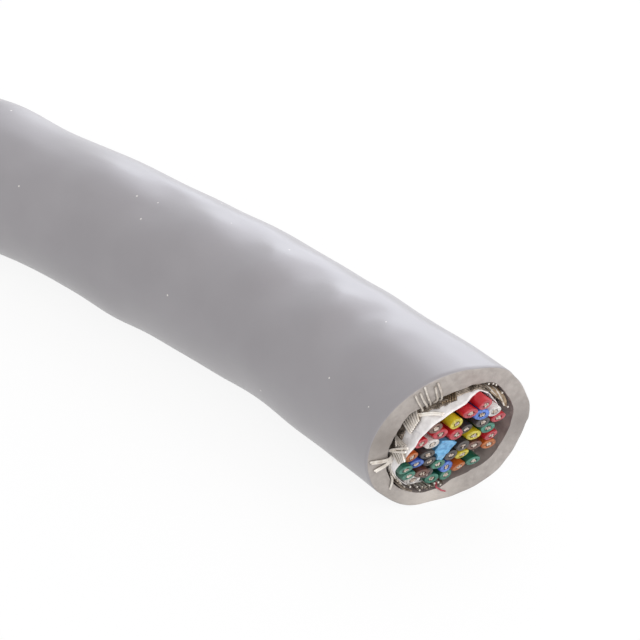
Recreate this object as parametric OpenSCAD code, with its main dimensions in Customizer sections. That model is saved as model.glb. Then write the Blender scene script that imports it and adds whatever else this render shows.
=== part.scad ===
// A cut length of shielded eighteen-pair cable, lying on its side.
// The tail runs straight along X and is cut square. The other end bends toward -Y
// and is cut off at a slant, so that its wires, tape and braid show.
// Sizes are driven from the inside out: strand, wire, core, tape, braid, jacket.

/* [Wires] */
// Diameter of one copper strand; seven make a conductor
strand_d = 0.2; // [0.16:0.01:0.24]
// Insulation thickness on each wire
insulation_wall = 0.29; // [0.25:0.01:0.34]
// Room between a conductor and the bore of its insulation
bore_gap = 0.03; // [0.03:0.01:0.05]
// Room between neighbouring wires
wire_gap = 0.04; // [0.02:0.01:0.08]
// Diameter of the rip cord under the tape
rip_cord_d = 0.25; // [0.2:0.01:0.28]

/* [Wraps] */
// Thickness of the binder tape
tape_t = 0.05; // [0.03:0.01:0.08]
// How far round the binder tape overlaps itself, in degrees
tape_lap = 60; // [30:5:120]
// Room between one wrap and the next
wrap_gap = 0.02; // [0.01:0.01:0.05]
// Carriers wound each way in the braid
carriers = 8; // [6:1:10]
// Width of one carrier
carrier_w = 1.45; // [1:0.05:1.6]
// Thickness of one carrier
carrier_t = 0.08; // [0.06:0.01:0.1]
// Clear height between carriers where they cross
weave_gap = 0.08; // [0.07:0.01:0.12]
// Length of one full turn of a carrier
braid_pitch = 60; // [55:1:75]

/* [Jacket] */
// Thickness of the jacket
jacket_wall = 1.36; // [1.1:0.02:1.8]
// Length of the straight tail
tail = 27; // [15:1:60]
// Radius of the bend, at the cable's axis
bend_r = 240; // [160:5:400]
// Angle of the bend up to the slanted cut, in degrees
bend = 15; // [8:1:22]

/* [Slanted cut] */
// Lean of the jacket's cut, in degrees
jacket_lean = 16; // [0:1:22]
// Direction the jacket's cut leads in, in degrees from straight up toward +Y
jacket_turn = 45; // [0:5:90]
// How far the wires stick out past the end of the bend, at the axis
wire_reach = 1.1; // [0.5:0.1:2]
// Lean of the wires' cut, in degrees
wire_lean = 24; // [0:1:26]
// Direction the wires' cut leads in, in degrees from straight up toward +Y
wire_turn = 27; // [0:1:90]
// How far the tape sticks out past the end of the bend, at the axis
tape_reach = 0.2; // [-1:0.1:1]
// How far the braid stops short of the end of the bend, at the axis
braid_short = 0.7; // [0:0.1:1.5]
// Lean of the cut of tape and braid, in degrees
wrap_lean = 17; // [0:1:22]
// Direction that cut leads in, in degrees from straight up toward +Y
wrap_turn = 18; // [0:1:90]
// Longest stretch of a carrier that is frayed past the braid's cut
fray = 0.8; // [0:0.1:1.2]

/* [Hidden] */

// The pairs in the order of their colour code: first wire and its place in the
// core, second wire and its place. Places count in wire pitches from the axis,
// across (+Y) and up, chosen by eye from the cut end.
PAIRS = [
    ["black", [0.4, 1.25], "red", [-0.6, 1.1]],
    ["black", [1.5, 1.65], "white", [1.8, 2.65]],
    ["black", [-1.05, -2.65], "green", [-0.3, -3.4]],
    ["black", [-2.1, -0.1], "blue", [-2.35, -1.1]],
    ["black", [0.55, -0.1], "yellow", [1.25, 0.65]],
    ["black", [-1.35, -0.85], "brown", [-1.65, -1.85]],
    ["black", [0.25, -1.1], "orange", [1.1, -2.35]],
    ["red", [-2.8, 1.15], "white", [-1.8, 0.9]],
    ["red", [2.55, 1.95], "green", [2.25, 0.95]],
    ["red", [0.95, 3.3], "blue", [0.65, 2.25]],
    ["red", [-0.1, 3.1], "yellow", [-0.35, 2.1]],
    ["red", [-1.35, 1.8], "brown", [-2.35, 2.15]],
    ["red", [2.6, -0.1], "orange", [2.3, -1.1]],
    ["green", [-2.75, -2.05], "white", [-2.05, -2.8]],
    ["green", [0.75, -3.35], "blue", [0.1, -2.4]],
    ["green", [-0.65, -1.7], "yellow", [1.25, -1.35]],
    ["green", [2.15, -2.15], "brown", [1.6, -0.35]],
    ["green", [-3.35, -0.85], "orange", [-3.1, 0.15]]
];

// Outline of the crumpled filler and place of the rip cord, in wire pitches
FILLER = [
    [-1.5, 0.3], [-1.2, 0.55], [-0.75, 0.45], [-0.35, 0.3], [-0.05, 0], [-0.05, -0.4],
    [-0.25, -0.65], [-0.6, -0.75], [-0.85, -0.6], [-1.05, -0.3], [-1.35, -0.05]
];
RIP_CORD = [0.2, -3.8];

// Wires and core
conductor_r = 1.5 * strand_d;
// Depth of the valleys between the six strands that show on a bundle, as a share of its radius
valley = 1 / 6;
bore_r = conductor_r + bore_gap;
wire_r = bore_r + insulation_wall;
wire_pitch = 2 * wire_r + wire_gap;
core_r = wire_r + wire_pitch * max([for (p = PAIRS) max(norm(p[1]), norm(p[3]))]);

// Wraps round the core
tape_r = core_r + wrap_gap;
lap_r = tape_r + 2 * tape_t;
braid_lean = atan(2 * PI * lap_r / braid_pitch);
// Half the angle that a carrier takes up round the cable
half_angle = carrier_w / cos(braid_lean) / lap_r * 90 / PI;
// A flat carrier's middle lies this much closer to the axis than its edges
carrier_sag = lap_r * (1 - cos(half_angle));
under_r = lap_r + wrap_gap + carrier_sag;
over_r = under_r + carrier_t + weave_gap;
jacket_bore_r = over_r + carrier_t + wrap_gap;
jacket_r = jacket_bore_r + jacket_wall;

// Weave: every crossing lies one step further along the cable
weave_step = braid_pitch / (2 * carriers);
// Share of a step, to each side of a crossing, on which a carrier keeps its height
level = 0.36;

// Bend and slanted cut
bend_length = bend_r * bend * PI / 180;
longest_reach = max(wire_reach + core_r * tan(wire_lean), jacket_r * tan(jacket_lean));
// The bend is swept past every cut by this angle and then cut back
spare_angle = 1.3 * longest_reach / bend_r * 180 / PI;
block = 5 * jacket_r;

// The whole lies on z = 0 with the middle of its box over the origin
x_max = bend_r * sin(bend) + wire_reach * cos(bend)
    + core_r * norm([
        sin(bend) + cos(bend) * tan(wire_lean) * sin(wire_turn),
        cos(bend) * tan(wire_lean) * cos(wire_turn)
    ]);
y_min = bend_r * (cos(bend) - 1)
    - jacket_r * (cos(bend) - sin(bend) * tan(jacket_lean) * sin(jacket_turn));
middle = [(tail - x_max) / 2, -(jacket_r + y_min) / 2, jacket_r];

// Sweeps a flat section along the straight tail and round the bend
module run() {
    rotate([90, 0, 90])
        translate([0, 0, -tail])
            linear_extrude(tail)
                children();
    translate([0, -bend_r, 0])
        rotate([0, 0, 90])
            mirror([0, 1, 0])
                rotate_extrude(angle = bend + spare_angle, $fn = 360)
                    translate([bend_r, 0])
                        children();
}

// Block that takes away everything past a slanted cut
module past_cut(reach, lean, turn) {
    translate([bend_r * sin(bend), bend_r * (cos(bend) - 1), 0])
        rotate([0, 0, -bend])
            translate([reach, 0, 0])
                rotate([-turn, 0, 0])
                    rotate([0, lean, 0])
                        translate([0, -block / 2, -block / 2])
                            cube(block);
}

// A swept section, cut at a slant and set in the part's frame
module length_of(reach, lean, turn) {
    translate(middle)
        difference() {
            run() children();
            past_cut(reach, lean, turn);
        }
}

module ring(inner_r, outer_r) {
    difference() {
        circle(outer_r, $fn = 96);
        circle(inner_r, $fn = 96);
    }
}

module jacket() {
    color("darkgray")
        length_of(0, jacket_lean, jacket_turn)
            ring(jacket_bore_r, jacket_r);
}

// The tape is laid lengthwise; its free edge laps over the other on the upper left
module binder_tape() {
    lap_from = 90;
    color("white")
        length_of(tape_reach, wrap_lean, wrap_turn) {
            ring(tape_r, tape_r + tape_t);
            intersection() {
                ring(tape_r + tape_t / 2, lap_r);
                polygon([
                    [0, 0],
                    2 * lap_r * [cos(lap_from), sin(lap_from)],
                    2 * lap_r * [cos(lap_from + tape_lap), sin(lap_from + tape_lap)]
                ]);
            }
        }
}

module centre_filler() {
    color("deepskyblue")
        length_of(wire_reach, wire_lean, wire_turn)
            polygon(wire_pitch * FILLER);
}

// Section of a bundle of strands, with six ridges
module bundle(r) {
    polygon([for (k = [0 : 11]) r * (1 - (k % 2) * valley) * [cos(30 * k), sin(30 * k)]]);
}

module rip_cord() {
    color("crimson")
        length_of(0, wrap_lean, wrap_turn)
            translate(wire_pitch * RIP_CORD)
                bundle(rip_cord_d / 2);
}

// One insulated wire of a pair, side 0 or 1, without its conductor
module insulation(pair, side) {
    wire = PAIRS[pair - 1];
    color(wire[2 * side])
        length_of(wire_reach, wire_lean, wire_turn)
            translate(wire_pitch * wire[2 * side + 1])
                ring(bore_r, wire_r);
}

// Both conductors of a pair
module conductors(pair) {
    wire = PAIRS[pair - 1];
    color("silver")
        length_of(wire_reach, wire_lean, wire_turn)
            for (side = [0, 1])
                translate(wire_pitch * wire[2 * side + 1])
                    bundle(conductor_r);
}

// A point by its distance along the axis from the start of the bend, its radius
// and its angle round the axis
function on_path(along, r, angle) = let (
    across = r * cos(angle),
    up = r * sin(angle),
    turned = along / bend_r * 180 / PI
) along <= 0
    ? [along, across, up]
    : [(bend_r + across) * sin(turned), (bend_r + across) * cos(turned) - bend_r, up];

// How far along the axis a carrier is cut, by its angle there and what frays past the cut
function carrier_end(angle, frayed) = bend_length - braid_short + frayed
    + over_r * tan(wrap_lean) * cos(90 - wrap_turn - angle);

// Angle of a carrier round the axis; hand is 1 or -1, the way it winds
function carrier_angle(number, hand, along) =
    360 / carriers * number + hand * 360 * along / braid_pitch;

// Radius of a carrier's inner face: over one crossing, under the next, and a slope between
function carrier_r(hand, along) = let (
    crossing = round(along / weave_step),
    off = abs(along / weave_step - crossing),
    height = min(1, (0.5 - off) / (0.5 - level)),
    over = crossing % 2 == 0 ? hand : -hand
) (over_r + under_r) / 2 + over * height * (over_r - under_r) / 2;

// Where a carrier starts, bends and ends along the axis
function carrier_stations(number, hand) = let (
    start = wrap_gap - tail,
    frayed = fray * ((3 * number + (hand > 0 ? 0 : 2)) % 5) / 4,
    end = carrier_end(carrier_angle(number, hand, bend_length), frayed),
    first = floor(start / weave_step),
    last = ceil(end / weave_step),
    bends = [for (m = [first : last], side = [-level, level]) (m + side) * weave_step]
) [start, for (along = bends) if (along > start + carrier_t && along < end - carrier_t) along, end];

// Four corners at every station: inner edge, inner edge, outer edge, outer edge
function carrier_corners(number, hand, stations) = [
    for (along = stations, corner = [[-1, 0], [1, 0], [1, 1], [-1, 1]])
        on_path(
            along,
            carrier_r(hand, along) + corner[1] * carrier_t,
            carrier_angle(number, hand, along) + corner[0] * half_angle
        )
];

// Faces of a carrier whose corners start at number base. Both broad faces are folded
// along the cable, on the same corners.
function carrier_faces(hand, count, base) = let (last = base + 4 * count - 4) [
    [base, base + 2, base + 1],
    [base, base + 3, base + 2],
    for (i = [0 : count - 2], k = [0 : 3]) let (
        a = base + 4 * i + k,
        b = base + 4 * i + (k + 1) % 4
    ) each (hand > 0) == (k == 0)
        ? [[a, b, a + 4], [b, b + 4, a + 4]]
        : [[a, b, b + 4], [a, b + 4, a + 4]],
    [last, last + 1, last + 2],
    [last, last + 2, last + 3]
];

function sum_before(list, i) = i == 0 ? 0 : list[i - 1] + sum_before(list, i - 1);

// The woven braid: flat carriers wound both ways, each over one crossing and under the next
module braid_shield() {
    wound = [for (number = [0 : carriers - 1], hand = [-1, 1]) [number, hand]];
    stations = [for (c = wound) carrier_stations(c[0], c[1])];
    counts = [for (list = stations) len(list)];
    each_one = [0 : len(wound) - 1];
    color("lightslategray")
        translate(middle)
            polyhedron(
                [for (i = each_one) each carrier_corners(wound[i][0], wound[i][1], stations[i])],
                [for (i = each_one) each carrier_faces(wound[i][1], counts[i], 4 * sum_before(counts, i))]
            );
}

jacket();
braid_shield();
binder_tape();
centre_filler();
rip_cord();
insulation(1, 0);  // pair_01_black
insulation(1, 1);  // pair_01_red
conductors(1);  // pair_01_conductors
insulation(2, 0);  // pair_02_black
insulation(2, 1);  // pair_02_white
conductors(2);  // pair_02_conductors
insulation(3, 0);  // pair_03_black
insulation(3, 1);  // pair_03_green
conductors(3);  // pair_03_conductors
insulation(4, 0);  // pair_04_black
insulation(4, 1);  // pair_04_blue
conductors(4);  // pair_04_conductors
insulation(5, 0);  // pair_05_black
insulation(5, 1);  // pair_05_yellow
conductors(5);  // pair_05_conductors
insulation(6, 0);  // pair_06_black
insulation(6, 1);  // pair_06_brown
conductors(6);  // pair_06_conductors
insulation(7, 0);  // pair_07_black
insulation(7, 1);  // pair_07_orange
conductors(7);  // pair_07_conductors
insulation(8, 0);  // pair_08_red
insulation(8, 1);  // pair_08_white
conductors(8);  // pair_08_conductors
insulation(9, 0);  // pair_09_red
insulation(9, 1);  // pair_09_green
conductors(9);  // pair_09_conductors
insulation(10, 0);  // pair_10_red
insulation(10, 1);  // pair_10_blue
conductors(10);  // pair_10_conductors
insulation(11, 0);  // pair_11_red
insulation(11, 1);  // pair_11_yellow
conductors(11);  // pair_11_conductors
insulation(12, 0);  // pair_12_red
insulation(12, 1);  // pair_12_brown
conductors(12);  // pair_12_conductors
insulation(13, 0);  // pair_13_red
insulation(13, 1);  // pair_13_orange
conductors(13);  // pair_13_conductors
insulation(14, 0);  // pair_14_green
insulation(14, 1);  // pair_14_white
conductors(14);  // pair_14_conductors
insulation(15, 0);  // pair_15_green
insulation(15, 1);  // pair_15_blue
conductors(15);  // pair_15_conductors
insulation(16, 0);  // pair_16_green
insulation(16, 1);  // pair_16_yellow
conductors(16);  // pair_16_conductors
insulation(17, 0);  // pair_17_green
insulation(17, 1);  // pair_17_brown
conductors(17);  // pair_17_conductors
insulation(18, 0);  // pair_18_green
insulation(18, 1);  // pair_18_orange
conductors(18);  // pair_18_conductors
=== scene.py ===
# %% [markdown]
# # A cut length of shielded multi-pair cable
# The object is a short length of round grey cable, cut off at a slant. The cut shows eighteen
# pairs of coloured wires, a white tape round them, a woven braid of tinned copper and the jacket.
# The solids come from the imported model, and this lesson dresses them: every solid is hidden and a
# finer piece stands in the same place.

# %% Load the frame
import math
import random

import bmesh
import bpy
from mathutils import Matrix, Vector, noise


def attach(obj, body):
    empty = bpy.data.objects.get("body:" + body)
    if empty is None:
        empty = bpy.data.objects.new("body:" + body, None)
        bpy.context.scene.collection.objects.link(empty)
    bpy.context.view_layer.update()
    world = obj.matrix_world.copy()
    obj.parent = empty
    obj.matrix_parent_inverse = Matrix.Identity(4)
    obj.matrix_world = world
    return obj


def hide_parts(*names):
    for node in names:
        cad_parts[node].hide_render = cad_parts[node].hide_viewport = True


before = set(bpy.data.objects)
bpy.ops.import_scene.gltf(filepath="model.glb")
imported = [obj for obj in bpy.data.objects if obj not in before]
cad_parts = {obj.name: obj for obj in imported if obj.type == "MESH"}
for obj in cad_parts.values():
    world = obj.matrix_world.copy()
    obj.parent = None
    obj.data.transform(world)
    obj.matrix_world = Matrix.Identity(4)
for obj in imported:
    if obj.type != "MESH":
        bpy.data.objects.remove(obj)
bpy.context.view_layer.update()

scene = bpy.context.scene

# %% [markdown]
# ## The route
# A cable is one section that follows a line. The line here runs straight along the tail, then
# round a wide bend to the slanted cut. It could be drawn as a curve with a bevel, but a small
# function that turns (along, across, up) into a point keeps every wire, strand and wrap of the
# cable on the same line. Sizes are in millimetres until that function turns them to metres.

# %% Route of the cable
MM = 0.001
BEND_START = Vector((-19.5933, 3.79084, 6.88741))
TAIL = 27.0
BEND_R = 240.0
BEND_LENGTH = BEND_R * math.radians(15)
CABLE_LENGTH = TAIL + BEND_LENGTH


def on_route(along, across, up):
    """The point at a distance along the cable from the start of the bend, across its axis and up."""
    turned = max(along, 0.0) / BEND_R
    x = min(along, 0.0) + (BEND_R + across) * math.sin(turned)
    y = (BEND_R + across) * math.cos(turned) - BEND_R
    return (BEND_START + Vector((x, y, up))) * MM


def along_to(end, share):
    """How far along the cable a share of the way from the tail's end to another end lies."""
    return -TAIL + share * (end + TAIL)


def unit(angle):
    """A step of one across and up in the section, at an angle."""
    return Vector((math.cos(angle), math.sin(angle)))


cut_end = on_route(BEND_LENGTH, 0, 0)
print("axis at the slanted cut:", [round(v, 5) for v in cut_end])

# %% [markdown]
# ## The slanted cuts
# The jacket, the wires, the tape and the braid did not part at the same slant. Each cut is a plane,
# and a function says where a place in the section ends. A Boolean with a tilted block could cut
# the pieces too, but then none could have a rim or a frayed end of its own.

# %% Slants


def slant(reach, lean, turn):
    """A slanted cut: a function that says how far along the cable a place in the section ends."""
    slope_across = math.tan(math.radians(lean)) * math.sin(math.radians(turn))
    slope_up = math.tan(math.radians(lean)) * math.cos(math.radians(turn))

    def cut(across, up):
        past = reach + slope_across * across + slope_up * up
        return BEND_LENGTH + past * BEND_R / (BEND_R + across)

    return cut


jacket_cut = slant(reach=0.0, lean=16, turn=45)
wire_cut = slant(reach=1.1, lean=24, turn=27)
tape_cut = slant(reach=0.2, lean=17, turn=18)
braid_cut = slant(reach=-0.7, lean=17, turn=18)
print("wires stick out by", round(wire_cut(0, 0) - jacket_cut(0, 0), 2), "mm in the middle")

# %% [markdown]
# ## The squashed end
# Cutters squash a cable before they part it. In the photograph the bore is flat at its upper left
# and the wires are pressed down and to the right. So the jacket's rim, its bore and the tape each
# have a second outline, the one they have at the cut, as a short list of angles and radii. Every
# piece goes from its round place to its squashed one over the last centimetre.

# %% Squash at the cut
SQUASHED_LENGTH = 9.5
SQUASHED_FROM = BEND_LENGTH - 1.5
RIM_AT_CUT = (
    (0, 7.03), (12, 7.03), (25, 6.87), (43, 6.95), (55, 7.15), (80, 6.89), (200, 6.95), (213, 7.04),
    (225, 6.97), (249, 7.17), (269, 6.97), (285, 7.05), (300, 7.2), (315, 7.28), (327, 7.08),
    (343, 6.86), (356, 6.85),
)
BORE_AT_CUT = (
    (0, 5.35), (15, 5.55), (35, 5.5), (57, 5.72), (75, 5.33), (90, 4.95), (105, 4.82), (122, 4.85),
    (140, 5.2), (160, 5.0), (185, 5.18), (205, 5.5), (230, 5.75), (252, 5.78), (268, 5.55),
    (285, 5.0), (300, 5.12), (320, 5.4), (340, 5.24),
)
TAPE_AT_CUT = (
    (0, 4.25), (30, 4.4), (48, 4.5), (62, 4.8), (72, 4.95), (80, 4.65), (90, 4.35), (105, 4.2),
    (120, 4.2), (135, 4.35), (150, 4.2), (165, 4.15), (180, 4.45), (190, 4.7), (202, 5.15),
    (217, 5.13), (238, 5.32), (250, 5.2), (276, 4.97), (285, 4.65), (308, 4.5), (338, 4.25),
)


def soft_step(value):
    """Rises smoothly from 0 to 1 as the value does."""
    t = min(1.0, max(0.0, value))
    return t * t * (3 - 2 * t)


def near_cut(along):
    """How much of the squash has reached a place: none far from the cut, all of it at the cut."""
    return soft_step(1 + (along - SQUASHED_FROM) / SQUASHED_LENGTH)


def outline_r(outline, angle):
    """Radius of a squashed outline at an angle, eased from one of its corners to the next."""
    turn = math.degrees(angle) % 360
    corners = outline + ((360, outline[0][1]),)
    for (before, r), (after, next_r) in zip(corners, corners[1:]):
        if turn <= after:
            return r + (next_r - r) * soft_step((turn - before) / (after - before))


def squashed_r(round_r, outline, along, angle):
    """Radius of a round piece, which takes a squashed outline towards the cut."""
    share = near_cut(along)
    return round_r if share == 0 else round_r + share * (outline_r(outline, angle) - round_r)


def bump(angle, centre, half_width):
    """A flat-topped hump round the cable, by angles in degrees."""
    off = (math.degrees(angle) - centre + 180) % 360 - 180
    return math.exp(-(off / half_width) ** 4)


print("squashed outlines:", len(RIM_AT_CUT), len(BORE_AT_CUT), len(TAPE_AT_CUT))

# %% [markdown]
# ## The camera
# The photograph was taken from well off with a long lens, from above the cut end. The camera is
# placed by its turn round the object and its height above the horizon, then moved sideways and up
# until the cut end falls where the photograph has it.

# %% Camera
AZIMUTH = math.radians(40.84)
ELEVATION = math.radians(30)
DISTANCE = 180.5
SIDEWAYS = -10.311
RAISED = 9.33

camera_data = bpy.data.cameras.new("photo_camera")
camera_data.lens = 127.2
camera_data.sensor_width = 36
camera_data.clip_start = 0.005
camera_data.clip_end = 10
camera = bpy.data.objects.new("photo_camera", camera_data)
scene.collection.objects.link(camera)
camera.rotation_euler = (math.pi / 2 - ELEVATION, 0, AZIMUTH)
facing = camera.rotation_euler.to_matrix()
camera.location = cut_end + facing @ Vector((SIDEWAYS, RAISED, DISTANCE)) * MM
scene.camera = camera
print("camera at", [round(v, 4) for v in camera.location])

# %% [markdown]
# ## Helpers for swept meshes
# Most pieces of a cable are a ring of points, extruded from station to station. One function does
# that step with the extrude operator and hands back the new ring, another repeats it. A finished
# mesh then becomes a piece, which rides on the root body and stands for a solid of the frame.

# %% Swept meshes
CROWDING = 1.6


def grow(bm, ring, closed=True):
    """Extrudes a ring of vertices once and returns the new ring in the same order."""
    first = 0 if closed else 1
    edges = [bm.edges.get((ring[k - 1], ring[k])) for k in range(first, len(ring))]
    grown = set(bmesh.ops.extrude_edge_only(bm, edges=edges)["geom"])
    return [next(e.other_vert(v) for e in v.link_edges if e.other_vert(v) in grown) for v in ring]


def sweep(bm, sides, shares, place, closed=True):
    """Extrudes a ring along the shares of a length; place(k, share) puts its corner k there."""
    ring = bmesh.ops.create_circle(bm, segments=sides, radius=MM)["verts"]
    if not closed:
        bm.edges.remove(bm.edges.get((ring[-1], ring[0])))
    rings = []
    for share in shares:
        if rings:
            ring = grow(bm, ring, closed)
        for k, vert in enumerate(ring):
            vert.co = place(k, share)
        rings.append(ring)
    return rings


def crowded(steps):
    """Shares of a length that crowd towards the cut, where a crumpled piece needs more of them."""
    return [1 - (1 - k / steps) ** CROWDING for k in range(steps + 1)]


def loop_of(bm, ring):
    """The edges of a closed ring."""
    return [bm.edges.get((ring[k - 1], ring[k])) for k in range(len(ring))]


def mesh_of(name, bm):
    """Turns a finished bmesh into a mesh, with its faces pointing outwards."""
    bmesh.ops.recalc_face_normals(bm, faces=bm.faces)
    mesh = bpy.data.meshes.new(name)
    bm.to_mesh(mesh)
    bm.free()
    return mesh


def add_piece(name, mesh, node, materials, sharp=40):
    """Makes an object of a mesh that stands for a solid of the frame, and gives it its finish."""
    for material in materials:
        mesh.materials.append(material)
    mesh.shade_smooth()
    mesh.set_sharp_from_angle(angle=math.radians(sharp))
    made = bpy.data.objects.new(name, mesh)
    scene.collection.objects.link(made)
    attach(made, "root")
    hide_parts(node)
    return made


print("helpers for swept meshes ready")

# %% [markdown]
# ## Helpers for materials
# Colours are written as the sRGB hex values that a paint chart would give, and one function turns
# them to the linear values that a shader takes. One more adds a node with its values and links.
# Most surfaces here need the same two patterns, a mottled colour and a fine grain, so those are
# functions too, and a third makes a whole material of them. All sizes are in millimetres.

# %% Material helpers
# Noise seldom leaves its middle values, so the two colours of a mottled surface stand close to 0.5
DARK_AT = 0.35
LIGHT_AT = 0.65


def linear(colour):
    """An sRGB hex colour as linear red, green, blue and alpha."""
    values = [int(colour[i:i + 2], 16) / 255 for i in (1, 3, 5)]
    return [v / 12.92 if v <= 0.04045 else ((v + 0.055) / 1.055) ** 2.4 for v in values] + [1]


def add(owner, kind, values=(), links=(), **settings):
    """Adds one node to a material or a world, with its settings, its socket values and its links."""
    node = owner.node_tree.nodes.new(kind)
    for setting, value in settings.items():
        setattr(node, setting, value)
    for socket, value in dict(values).items():
        node.inputs[socket].default_value = value
    for socket, output in dict(links).items():
        owner.node_tree.links.new(output, node.inputs[socket])
    return node


def new_material(name):
    """An empty node material."""
    material = bpy.data.materials.new(name)
    material.use_nodes = True
    material.node_tree.nodes.clear()
    return material


def finish_material(material, values, links):
    """Closes a material with a Principled shader."""
    shader = add(material, "ShaderNodeBsdfPrincipled", values, links)
    add(material, "ShaderNodeOutputMaterial", {}, {"Surface": shader.outputs[0]})
    return material


def mottled(material, light, dark, size):
    """A colour that wanders between two hex colours in patches of a size in millimetres."""
    place = add(material, "ShaderNodeTexCoord").outputs["Object"]
    patches = add(material, "ShaderNodeTexNoise", {"Scale": 1 / (size * MM), "Detail": 4},
                  {"Vector": place})
    ramp = add(material, "ShaderNodeValToRGB", {}, {"Fac": patches.outputs["Fac"]})
    ramp.color_ramp.elements[0].position = DARK_AT
    ramp.color_ramp.elements[0].color = linear(dark)
    ramp.color_ramp.elements[1].position = LIGHT_AT
    ramp.color_ramp.elements[1].color = linear(light)
    return place, ramp.outputs["Color"]


def grain(material, place, size, height):
    """A bump with grains of a size and height in millimetres."""
    grains = add(material, "ShaderNodeTexNoise", {"Scale": 1 / (size * MM), "Detail": 3},
                 {"Vector": place})
    return add(material, "ShaderNodeBump", {"Strength": 1, "Distance": height * MM},
               {"Height": grains.outputs["Fac"]}).outputs["Normal"]


def surface(name, light, dark, patch, mark, height, values):
    """A material with a mottled colour and a grain, by the sizes of their patches and marks."""
    material = new_material(name)
    place, colour = mottled(material, light, dark, patch)
    normal = grain(material, place, mark, height)
    return finish_material(material, values, {"Base Color": colour, "Normal": normal})


print("material helpers ready")

# %% [markdown]
# ## Jacket finish
# The jacket is soft PVC, extruded over the braid: smooth, a little glossy, faintly mottled, with a few
# specks of dust. The cut face is the same PVC torn by the cutters, so it is duller, warmer and rough;
# round patches of painted shade darken it at the right and the upper left, and one of painted light
# makes it paler at the bottom. Noise gives the mottling, a cell pattern with a dot in each cell gives
# the dust, and a round gradient gives each patch. A painted picture could do the same, but nodes need no
# file and keep their size in millimetres.

# %% Jacket materials
PVC_IOR = 1.53
DUST_SPACING = 2.4
# Dust is finer than this, and is drawn coarse enough to show
DUST_R = 0.09
# Painted shade and painted light on the cut face, as round patches: angle round the cable, radius,
# colour
FACE_PAINTED_LIGHT_AND_SHADE = ((0, 3.4, "#857F7C"), (168, 2.6, "#837D79"), (262, 3.6, "#C6C0BB"))
FACE_MIDDLE_R = 6.2


def jacket_side():
    """Extruded grey PVC: soft, wide highlights, a trace of haze at the edges, the odd pale speck."""
    material = new_material("grey_pvc_extruded")
    place, colour = mottled(material, "#969397", "#918E92", size=7)
    dust = add(material, "ShaderNodeTexVoronoi", {"Scale": 1 / (DUST_SPACING * MM)}, {"Vector": place})
    speck = add(material, "ShaderNodeMath", {1: DUST_R / DUST_SPACING},
                {0: dust.outputs["Distance"]}, operation="LESS_THAN")
    dusty = add(material, "ShaderNodeMixRGB", {"Color2": linear("#DAD6D2")},
                {"Fac": speck.outputs[0], "Color1": colour})
    normal = grain(material, place, size=0.5, height=0.005)
    return finish_material(material, {"Roughness": 0.32, "IOR": PVC_IOR, "Sheen Weight": 0.16},
                           {"Base Color": dusty.outputs[0], "Normal": normal})


def jacket_face():
    """The same PVC where the cutters went through it: dull, warm, with small torn bumps."""
    material = new_material("grey_pvc_cut")
    place, colour = mottled(material, "#A59F9B", "#96908C", size=0.6)
    # Each patch is painted shade or painted light, fading out from its middle
    for turn, size, shade in FACE_PAINTED_LIGHT_AND_SHADE:
        spot = FACE_MIDDLE_R * unit(math.radians(turn))
        scale = 1 / (size * MM)
        centre = on_route(jacket_cut(*spot), *spot)
        around = add(material, "ShaderNodeMapping", {"Location": -scale * centre, "Scale": [scale] * 3},
                     {"Vector": place})
        patch = add(material, "ShaderNodeTexGradient", {}, {"Vector": around.outputs[0]},
                    gradient_type="SPHERICAL")
        colour = add(material, "ShaderNodeMixRGB", {"Color2": linear(shade)},
                     {"Fac": patch.outputs["Fac"], "Color1": colour}).outputs[0]
    normal = grain(material, place, size=0.25, height=0.03)
    return finish_material(material, {"Roughness": 0.55, "IOR": PVC_IOR},
                           {"Base Color": colour, "Normal": normal})


jacket_materials = [jacket_side(), jacket_face()]
# The inside of the jacket: stained brown by the braid that rubs on it, and painted darker as shade so
# that the gap round the core looks deep; blotchy and without shine
jacket_materials.append(surface("grey_pvc_stained_and_shaded", "#A29996", "#867D7C", patch=0.8, mark=0.3,
                                height=0.03, values={"Roughness": 0.6, "IOR": PVC_IOR}))
print("made", [m.name for m in jacket_materials])

# %% [markdown]
# ## Lumps in the jacket
# A soft jacket is never quite round: the twisted core presses through it and handling leaves
# hollows. In the photograph they break the highlights along the upper edge into soft patches. So
# each lump or hollow that shows is a smooth hump in a table, with its place along the cable and
# round it, and faint ripples run over the whole side. A Displace modifier with noise would be
# quicker, but it can't put a lump where the photograph has one.

# %% Lumps
# Place along, angle in degrees, height, half length, half width in degrees
LUMPS = (
    (-1, 50, 0.25, 3.5, 45), (7, 50, -0.28, 4, 45), (13, 50, -0.12, 4, 45), (22, 48, -0.2, 6.5, 45),
    (38, 47, 0.12, 5, 45), (49, 46, 0.1, 2.5, 40), (10, 232, -0.1, 4, 45), (22, 230, 0.28, 4.5, 45),
    (42, 227, -0.27, 4.5, 45), (55, 225, 0.1, 4, 40), (-18, 140, 0.2, 5, 60), (-12, 300, -0.15, 5, 60),
    (30, 107, -0.15, 30, 24), (17, 107, 0.42, 4.5, 22), (24.5, 102, -0.15, 2.5, 20),
    (32, 109, 0.4, 4, 22), (40.5, 107, 0.4, 2.4, 22), (45, 100, -0.1, 1.7, 20),
    (49.5, 108, 0.4, 2.3, 22), (53, 102, -0.1, 1.2, 20), (56.5, 108, 0.3, 1.8, 22),
)
RIPPLES_ROUND = 3
RIPPLE_LENGTH = 9.0
RIPPLE_HEIGHT = 0.035
RIPPLE_STEADY = 0.6
NOISE_LENGTH = 9
NOISE_ROUND = 1.6
OTHER_NOISE = Vector((7, 3, 1))


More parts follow.
